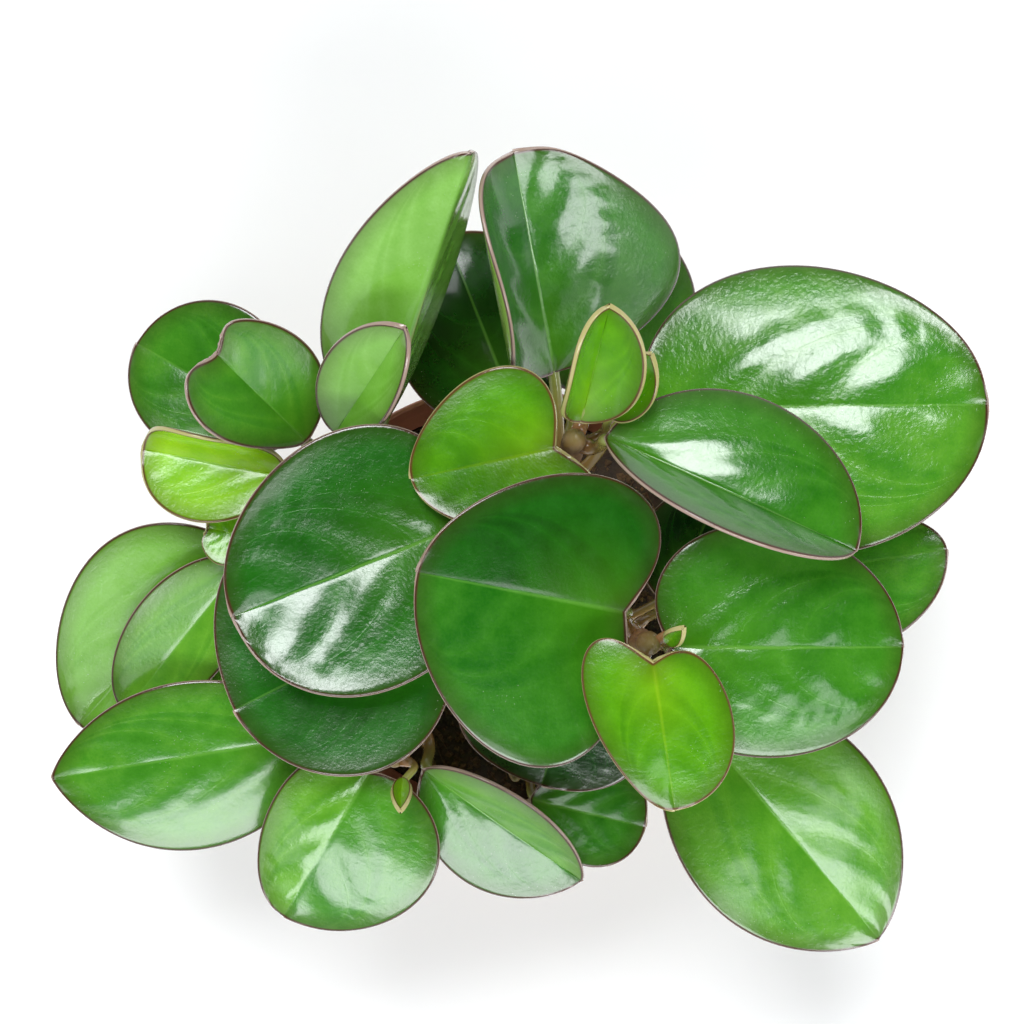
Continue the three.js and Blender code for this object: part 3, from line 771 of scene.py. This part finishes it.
def weld(points, faces, values, distance=0.002):
    """Merge points that lie together and drop the faces that shrink to nothing."""
    keys, target, kept = {}, [], []
    for i, point in enumerate(points):
        key = tuple(np.round(np.asarray(point) / distance).astype(int))
        if key not in keys:
            keys[key] = len(kept)
            kept.append(i)
        target.append(keys[key])
    corners = [tuple(dict.fromkeys(target[i] for i in face)) for face in faces]
    welded = [face for face in corners if len(face) > 2]
    new_values = {key: [numbers[i] for i in kept] for key, numbers in values.items()}
    return [points[i] for i in kept], welded, new_values


def blade_faces(first, side, under):
    rings = len(SHARES)
    faces = []
    for station in range(STATIONS):
        for ring in range(rings - 1):
            a = first + station * rings + ring
            face = (a, a + 1, a + rings + 1, a + rings)
            faces.append(face if (side == 0) == under else face[::-1])
    return faces


print("furthest from the margin, mm:", round(blade_mesh(LEAVES[-1])[3].max(), 1))

# %% [markdown]
# The stalk leaves the stem at a slant, bends into the blade and runs on under it as the
# keel of the midrib. It could stop at the blade, but the keel shows wherever a leaf is
# seen from below. A Bezier curve gives its line.

# %% Stalks
KEEL_SHARE = 0.72
KEEL_END_RADIUS = 0.35
STALK_EASE = 0.4
STALK_STEPS = 14
FOOT_SWELL = (1.35, 1.35, 1.15)
THINNEST_STALK = 0.45
FULL_STALK_LEAF = 90
ROD_SIDES = 12


def stalk_line(row, radius):
    """The stalk's axis from the stem to a little way under the blade."""
    base, tip = np.array(row["base"], float), np.array(row["tip"], float)
    forward = unit(tip - base)
    axis, run = stem_at(row["stem"], row["foot"])
    outward = base - axis
    outward = unit(outward - run * np.dot(outward, run))
    leaving = outward * cos(STALK_SLANT) + run * sin(STALK_SLANT)
    clear = STEM_RADIUS + JOINT_GAP + STALK_RADIUS * sin(STALK_SLANT)
    start = axis + outward * clear
    end = base + forward * 3
    reach = np.linalg.norm(end - start) * STALK_EASE
    first, second = start + leaving * reach, end - forward * reach
    steps = np.linspace(0, 1, STALK_STEPS)[:, None]
    curve = (start * (1 - steps) ** 3 + 3 * first * steps * (1 - steps) ** 2
             + 3 * second * steps**2 * (1 - steps) + end * steps**3)
    above = np.cross(forward, unit(np.cross((0, 0, 1), forward)))
    curve = curve - above * (radius - KEEL_END_RADIUS) * steps**3
    return np.vstack([axis + outward * (STEM_RADIUS * 0.6), curve]), above


def stalk_mesh(row):
    length = dist(row["base"], row["tip"])
    radius = STALK_RADIUS * min(1.0, THINNEST_STALK + length / FULL_STALK_LEAF)
    line, above = stalk_line(row, radius)
    turns = [acos(2 * share - 1) for share in np.linspace(6 / length, KEEL_SHARE, STALK_STEPS)]
    keel = np.array([bent_point(row, 0, turn, 0.0)[0] for turn in turns])
    keel_radii = np.linspace(radius * 0.95, KEEL_END_RADIUS, len(keel))
    keel = keel - above * np.maximum(keel_radii - KEEL_END_RADIUS, 0.45)[:, None]
    radii = np.full(len(line), radius)
    radii[:3] = radius * np.array(FOOT_SWELL)
    whole = np.vstack([line, keel])
    points, faces = swept(whole, np.concatenate([radii, keel_radii]), ROD_SIDES, (0.3, 0.9, 0.2))
    redness = np.concatenate([np.linspace(0.85, 0.25, len(line)), np.linspace(0.2, 0.0, len(keel))])
    paleness = np.linspace(1, 0.6, len(whole))
    return points, faces, np.repeat(redness, ROD_SIDES), np.repeat(paleness, ROD_SIDES)


print("stalk radius, mm:", STALK_RADIUS, "sides:", ROD_SIDES)

# %% [markdown]
# Blade and stalk grow as one piece, so they share one mesh and one material. They could
# be two objects with two materials, but the colour must flow from one into the other. The
# values that the material reads are stored here.

# %% Whole leaves


def make_leaf(row):
    upper, lower, outs, edges = blade_mesh(row)
    rings = len(SHARES)
    keys = ("leaf_along", "leaf_share", "leaf_side", "leaf_out", "leaf_edge", "leaf_under",
            "leaf_stalk", "leaf_tone", "leaf_quilt")
    points, faces, values = [], [], {key: [] for key in keys}
    along = np.repeat([(1 + cos(pi * s / STATIONS)) / 2 for s in range(STATIONS + 1)], rings)
    share = np.tile(SHARES, STATIONS + 1)
    for under, sheet in ((False, upper), (True, lower)):
        for side in (0, 1):
            faces += blade_faces(len(points), side, under)
            points += list(sheet[side].reshape(-1, 3))
            sheet_values = (along, share, side, outs[side].ravel(), edges[side].ravel(), under, 0,
                            row["tone"][side], row["quilt"])
            for key, numbers in zip(keys, sheet_values):
                values[key] += list(np.broadcast_to(numbers, share.shape).astype(float))
    points, faces, values = weld(points, faces, values)
    stalk_points, stalk_faces, redness, under = stalk_mesh(row)
    add_shape(points, faces, stalk_points, stalk_faces)
    stalk_values = (0.9, 0.5, 0, 9.0, 9.0, under, redness, row["tone"][0], 0)
    for key, numbers in zip(keys, stalk_values):
        values[key] += list(np.broadcast_to(numbers, len(stalk_points)).astype(float))
    material = YOUNG if row["young"] else MATURE
    name = row["name"]
    return make_piece("blade_" + name, points, faces, values, material, ["leaf_" + name])


for row in LEAVES:
    make_leaf(row)
print("triangles in the leaves:", sum(piece_triangles.values()))

# %% [markdown]
# Stems are fleshy and red-brown, a little swollen where a leaf sits, with a faint ring
# below it. They are browner near the soil. The rings could be painted on, but here the
# rod itself swells and narrows, so that they catch the light.

# %% Stems
STEM_STEPS = 90
STEM_SIDES = 20
APEX_TAPER = 6.0
STEM_TAPER = 0.16
NODE_SWELL = 0.35
NODE_LENGTH = 3.0
RING_DROP = 2.6
RING_LENGTH = 0.7
RING_DEPTH = 0.25

STEM_SKIN, tree, skin = new_material("fleshy stem")
grain = use(tree, skin_grain, Fine=700.0, Broad=130.0)
up_stem = stored(tree, "stem_height")
age = times(grain["Mottle"], 0.3, up_stem)
colour = blend(ramp(age, 0.3, 1.2), rgb(0.11, 0.045, 0.025), rgb(0.3, 0.15, 0.06))
colour = layered(colour, [
    (stored(tree, "stem_ring"), rgb(0.07, 0.03, 0.02)),
    (ramp(up_stem, 0.88, 1.0), rgb(0.17, 0.13, 0.035)),
])
finish_skin(skin, colour, grain["Mottle"], grain["Height"], rough=0.35, span=0.2,
            strength=0.4, depth=0.0002)


def make_stem(stem):
    line = stem_line(stem, STEM_STEPS)
    height = (line[:, 2] - SOIL_TOP) / (line[-1, 2] - SOIL_TOP)
    radii = STEM_RADIUS * (1.0 - STEM_TAPER * np.clip(height, 0, 1))
    ring = np.zeros(STEM_STEPS)
    for row in LEAVES:
        if row["stem"] == stem:
            away = line[:, 2] - row["foot"]
            radii = radii + NODE_SWELL * np.exp(-((away / NODE_LENGTH) ** 2))
            ring = np.maximum(ring, np.exp(-(((away + RING_DROP) / RING_LENGTH) ** 2)))
    radii = radii - RING_DEPTH * ring
    below_apex = np.linalg.norm(line - line[-1], axis=1) / APEX_TAPER
    radii = radii * (0.12 + 0.88 * np.sqrt(np.clip(below_apex, 0, 1)))
    points, faces = swept(line, radii, STEM_SIDES, (1, 0, 0))
    values = {"stem_height": np.repeat(height, STEM_SIDES),
              "stem_ring": np.repeat(ring * 0.7, STEM_SIDES)}
    return make_piece("cane_" + stem, points, faces, values, STEM_SKIN, ["stem_" + stem])


for stem in STEMS:
    make_stem(stem)

# %% [markdown]
# The pot and the soil plug are round, so both are turned: a profile of radius and height
# is carried round the axis. A Screw modifier would do the same, but this way each ring
# can be moved afterwards.

# %% Turned bodies


def turned(profile, sides):
    """Points and faces of a body turned from [radius, height] points, ends on the axis."""
    points = []
    for radius, height in profile[1:-1]:
        for side in range(sides):
            angle = 2 * pi * side / sides
            points.append((radius * cos(angle), radius * sin(angle), height))
    rows = len(profile) - 2
    faces = ring_faces(rows, sides)
    points += [(0, 0, profile[0][1]), (0, 0, profile[-1][1])]
    last = (rows - 1) * sides
    for side in range(sides):
        beyond = (side + 1) % sides
        faces.append((len(points) - 2, beyond, side))
        faces.append((len(points) - 1, last + side, last + beyond))
    return points, faces


print("faces of a drum:", len(turned([(0, 0), (9, 0), (9, 9), (0, 9)], 24)[1]))

# %% [markdown]
# The pot is a thin nursery pot with a stepped lip and a rounded rim. It could be a cone
# with a bevel, but the thin wall, the lip and the small roundings make it look moulded,
# so the whole profile is written down, up the outside and down the inside.

# %% Pot profile
POT_HEIGHT = 105
RIM_RADIUS = 60
BASE_RADIUS = 43
POT_WALL = 1.6
FLOOR_THICKNESS = 2.2
LIP_HEIGHT = 13
LIP_STEP = 2.6
WALL_TOP_RADIUS = 56
POT_SIDES = 128
DRAIN_COUNT = 8
DRAIN_RADIUS = 4.5
DRAIN_CIRCLE = 31


def pot_profile():
    lip_bottom = POT_HEIGHT - LIP_HEIGHT
    lip_radius = WALL_TOP_RADIUS + LIP_STEP
    inner_floor = BASE_RADIUS - POT_WALL
    slope = (WALL_TOP_RADIUS - BASE_RADIUS) / (lip_bottom - 2.5)
    wall = [(BASE_RADIUS + slope * (z - 1.5), z) for z in (4, 20, 40, 60, 80)]
    half_wall = POT_WALL / 2
    rim = [(RIM_RADIUS - half_wall + half_wall * cos(a), POT_HEIGHT - 0.8 + 0.8 * sin(a))
           for a in np.linspace(0, pi, 9)]
    lip_inside = lip_radius - POT_WALL
    return ([(0, 0), (BASE_RADIUS - 2.2, 0), (BASE_RADIUS - 1.0, 0.15), (BASE_RADIUS - 0.3, 0.7),
             (BASE_RADIUS, 1.5)] + wall
            + [(WALL_TOP_RADIUS - 0.1, lip_bottom - 2.0), (WALL_TOP_RADIUS, lip_bottom - 1),
               (WALL_TOP_RADIUS + 0.6, lip_bottom - 0.3), (lip_radius - 0.4, lip_bottom - 0.1),
               (lip_radius, lip_bottom + 0.4), (lip_radius + 0.3, lip_bottom + 3)] + rim
            + [(lip_inside + 0.2, lip_bottom + 3.5), (lip_inside - 0.3, lip_bottom + 2),
               (WALL_TOP_RADIUS - POT_WALL, lip_bottom - 1)]
            + [(radius - POT_WALL, z) for radius, z in wall[::-1]]
            + [(inner_floor - 1, FLOOR_THICKNESS), (0, FLOOR_THICKNESS)])


print("pot profile:", len(pot_profile()), "points")

# %% [markdown]
# The plastic is brick red, slightly uneven and speckled with soil, and its sharp edges
# are made paler as a painted highlight. A plain colour would look like a drawing.
# Pointiness finds the edges without a painted map.

# %% Pot plastic
PLASTIC, tree, skin = new_material("moulded red-brown plastic")
grain = use(tree, skin_grain, Fine=1600.0, Broad=28.0)
specks = use(tree, dust_specks, Scale=420.0, Size=0.16, Patch=0.52)["Speck"]
colour = blend(grain["Mottle"], rgb(0.27, 0.085, 0.045), rgb(0.33, 0.115, 0.065))
pointed = put(tree, "ShaderNodeNewGeometry", {}).outputs["Pointiness"]
# Painted highlight: sharp convex edges are made paler.
edge_highlight_share = times(ramp(pointed, 0.51, 0.60), 0.5)
colour = layered(colour, [
    (edge_highlight_share, rgb(0.48, 0.24, 0.16)), (times(specks, 0.6), rgb(0.1, 0.07, 0.05))])
finish_skin(skin, colour, grain["Mottle"], grain["Height"], rough=0.38, span=0.15,
            strength=0.25, depth=0.0001)
print("plastic:", len(tree.nodes), "nodes")

# %% [markdown]
# Eight drain holes go through the floor of a nursery pot. A turned shape can't have them,
# and building them into the mesh by hand is slow, so they are cut with a Boolean, and its
# result is kept as the mesh.

# %% Pot and drain holes


def cut_drains(pot):
    """Cut the ring of drain holes through the floor and leave no modifier behind."""
    cutters = []
    for hole in range(DRAIN_COUNT):
        angle = 2 * pi * hole / DRAIN_COUNT
        spot = (DRAIN_CIRCLE * cos(angle) * MM, DRAIN_CIRCLE * sin(angle) * MM, 1 * MM)
        bpy.ops.mesh.primitive_cylinder_add(
            vertices=32, radius=DRAIN_RADIUS * MM, depth=5 * MM, location=spot)
        cutters.append(bpy.context.object)
    with bpy.context.temp_override(active_object=cutters[0], selected_editable_objects=cutters):
        bpy.ops.object.join()
    cutter = cutters[0]
    cut = pot.modifiers.new("drains", "BOOLEAN")
    cut.object = cutter
    cut.solver = "EXACT"
    depsgraph = bpy.context.evaluated_depsgraph_get()
    drained = bpy.data.meshes.new_from_object(pot.evaluated_get(depsgraph))
    pot.modifiers.clear()
    pot.data = drained
    bpy.data.objects.remove(cutter)


points, faces = turned(pot_profile(), POT_SIDES)
pot = make_piece("nursery_pot", points, faces, {}, PLASTIC, ["pot"])
cut_drains(pot)
pot.data.set_sharp_from_angle(angle=radians(40))
print("pot faces after the drains are cut:", len(pot.data.polygons))

# %% [markdown]
# Potting mix is dark peat, lumpy on top. The plug fills the pot and its top is a fine
# heightfield of crossed waves. A Displace modifier could make the lumps, but the crumbs
# that lie on it must know the height as well, so it is a function.

# %% Soil plug
SOIL_EDGE = 54.0
SOIL_SIDES = 96


def soil_height(x, y):
    broad = sin(0.11 * x + 0.8) * cos(0.13 * y - 0.4)
    small = sin(0.31 * x - 0.17 * y) * cos(0.27 * y + 0.12 * x)
    tiny = sin(1.3 * x + 0.7 * y) * sin(1.1 * y - 0.5 * x)
    return SOIL_TOP + 1.1 * (broad + 0.6 * small) + 0.35 * tiny


def soil_material(name, dark, light):
    material, tree, skin = new_material(name)
    grain = use(tree, skin_grain, Fine=450.0, Broad=260.0)
    specks = use(tree, dust_specks, Scale=330.0, Size=0.2, Patch=0.5)["Speck"]
    colour = blend(grain["Mottle"], dark, light)
    colour = blend(times(specks, 0.7), colour, rgb(0.38, 0.22, 0.08))
    finish_skin(skin, colour, grain["Mottle"], grain["Height"], rough=0.75, span=0.2,
                strength=0.9, depth=0.0012)
    return material


PEAT = soil_material("dark peat", rgb(0.018, 0.011, 0.007), rgb(0.06, 0.035, 0.02))
CRUMB = soil_material("peat crumbs", rgb(0.03, 0.017, 0.009), rgb(0.16, 0.085, 0.035))

rings = [SOIL_EDGE * share for share in np.linspace(0.03, 0.98, 30)]
floor = FLOOR_THICKNESS + 1.3
profile = [(0, floor), (BASE_RADIUS - 2.2, floor), (SOIL_EDGE - 1.0, SOIL_TOP - 4),
           (SOIL_EDGE, SOIL_TOP - 1)]
profile += [(radius, SOIL_TOP) for radius in rings[::-1]] + [(0, SOIL_TOP)]
points, faces = turned(profile, SOIL_SIDES)
lumpy = [(x, y, soil_height(x, y) if z > SOIL_TOP - 0.5 else z) for x, y, z in points]
make_piece("peat_plug", lumpy, faces, {}, PEAT, ["soil"])

# %% [markdown]
# Crumbs, grains and short fibres lie on the peat. They could be instances of a few
# shapes, but those are lost in an export, so all crumbs are one mesh and all fibres
# another. With a fixed seed every run gives the same soil.

# %% Crumbs and fibres
soil_draw = np.random.RandomState(7)
CRUMB_COUNT = 2600
FIBRE_COUNT = 140
FIBRE_RADIUS = 0.16
FIBRE_STEPS = 9
SPREAD_RADIUS = 51


def crumb(centre, size):
    """A small uneven lump with eight faces."""
    directions = [(1, 0, 0), (-1, 0, 0), (0, 1, 0), (0, -1, 0), (0, 0, 1), (0, 0, -1)]
    stretch = size * (0.6 + 0.7 * soil_draw.rand(6))
    turn = soil_draw.rand() * pi
    points = []
    for (x, y, z), length in zip(directions, stretch):
        across = (x * cos(turn) - y * sin(turn)) * length
        deep = (x * sin(turn) + y * cos(turn)) * length
        points.append((centre[0] + across, centre[1] + deep, centre[2] + z * length * 0.7))
    faces = [(0, 2, 4), (2, 1, 4), (1, 3, 4), (3, 0, 4), (2, 0, 5), (1, 2, 5), (3, 1, 5), (0, 3, 5)]
    return points, faces


def soil_spot():
    radius = SPREAD_RADIUS * sqrt(soil_draw.rand())
    angle = soil_draw.rand() * 2 * pi
    x, y = radius * cos(angle), radius * sin(angle)
    return x, y, soil_height(x, y)


def fibre():
    """A short curved thread lying on the soil."""
    x, y, z = soil_spot()
    heading = soil_draw.rand() * 2 * pi
    bend = (soil_draw.rand() - 0.5) * 0.5
    line = []
    for step in range(FIBRE_STEPS):
        line.append((x, y, soil_height(x, y) + 0.5 + 0.5 * sin(step * 0.4)))
        x, y = x + cos(heading), y + sin(heading)
        heading += bend
    return swept(np.array(line), np.full(FIBRE_STEPS, FIBRE_RADIUS), 6, (0, 0, 1))


def scatter(name, shapes, material):
    points, faces = [], []
    for shape in shapes:
        add_shape(points, faces, *shape)
    piece = make_piece(name, points, faces, {}, material, [])
    piece.data.polygons.foreach_set("use_smooth", [False] * len(piece.data.polygons))
    return piece


crumbs = [crumb(soil_spot(), 0.4 + 1.3 * soil_draw.rand() ** 2) for _ in range(CRUMB_COUNT)]
scatter("peat_crumbs", crumbs, CRUMB)
scatter("peat_fibres", [fibre() for _ in range(FIBRE_COUNT)], CRUMB)
print("triangles in all:", sum(piece_triangles.values()))

# %% [markdown]
# The plant stands on a plain pale floor, so that nothing draws the eye from it. A curved
# backdrop would hide the horizon in low views, but the camera looks straight down.

# %% Floor
FLOOR_REACH = 3.0
corners = np.array([(-1, -1, 0), (1, -1, 0), (1, 1, 0), (-1, 1, 0)]) * FLOOR_REACH
mesh = bpy.data.meshes.new("studio_floor")
mesh.from_pydata(corners.tolist(), [], [(0, 1, 2, 3)])
material, _, skin = new_material("pale floor")
feed(skin, {"Base Color": rgb(0.97, 0.97, 0.97), "Roughness": 0.9})
mesh.materials.append(material)
floor = add_object("studio_floor", mesh)
print("floor:", 2 * FLOOR_REACH, "m wide")

# %% [markdown]
# Waxy leaves look waxy only when they mirror something bright. Five soft panels hang
# behind and in front of the plant, where tilted parts of the blades catch them. One big
# light overhead would grey every flat leaf.

# %% Panels
MIDDLE = (0.0, 0.02, 0.15)


def soft_light(name, place, width, height, power):
    data = bpy.data.lights.new(name, "AREA")
    data.shape = "RECTANGLE"
    data.size, data.size_y = width, height
    data.energy = power
    data.color = (0.96, 0.98, 1.0)
    light = add_object(name, data)
    light.location = place
    light.rotation_euler = Vector(np.subtract(MIDDLE, place)).to_track_quat("-Z", "Y").to_euler()


soft_light("panel_back", (-0.28, 1.02, 2.50), 1.0, 1.0, 52.0)
soft_light("panel_front", (0.02, -1.65, 2.20), 1.6, 0.85, 37.0)
soft_light("panel_front_low", (0.60, -0.84, 2.20), 0.48, 0.32, 1.9)
soft_light("panel_left_front", (-1.05, -1.20, 2.15), 0.55, 0.55, 2.0)
soft_light("panel_right_front", (1.45, -1.45, 1.45), 0.7, 0.7, 14.0)
print("panels:", len(bpy.data.lights))

# %% [markdown]
# The sky fills the shadows. An even sky would mirror in every leaf and take the depth out
# of the greens, so it is bright near the horizon and dim overhead.

# %% Sky
world = bpy.data.worlds.new("soft sky")
bpy.context.scene.world = world
world.use_nodes = True
tree = world.node_tree
direction = put(tree, "ShaderNodeTexCoord", {}).outputs["Generated"]
height = after("ShaderNodeSeparateXYZ", {"Vector": direction}).outputs["Z"]
level = times(fade(height, 0.15, 0.75), 1.1, 0.01)
feed(tree.nodes["Background"], {"Color": rgb(0.97, 0.98, 1.0), "Strength": level})
bpy.context.scene.view_settings.view_transform = "Standard"
print("world:", world.name)

# %% [markdown]
# The plant is seen from straight above, from about 0.9 m over the table. The view could
# be set by eye, but the place and the lens follow from the pot's rim, a circle 120 mm
# across.

# %% Camera
CAMERA_PLACE = (3.2, 25.7, 905.0)
CAMERA_LENS = 104.2
SENSOR_WIDTH = 36.0

camera_data = bpy.data.cameras.new("camera")
camera_data.lens = CAMERA_LENS
camera_data.sensor_width = SENSOR_WIDTH
camera_data.clip_start = 0.01
camera = add_object("camera", camera_data)
camera.location = [value * MM for value in CAMERA_PLACE]
bpy.context.scene.camera = camera
print("camera at, mm:", CAMERA_PLACE, "lens, mm:", CAMERA_LENS)

# %% [markdown]
# At the end the view layer is brought up to date.

# %% Last update
bpy.context.view_layer.update()
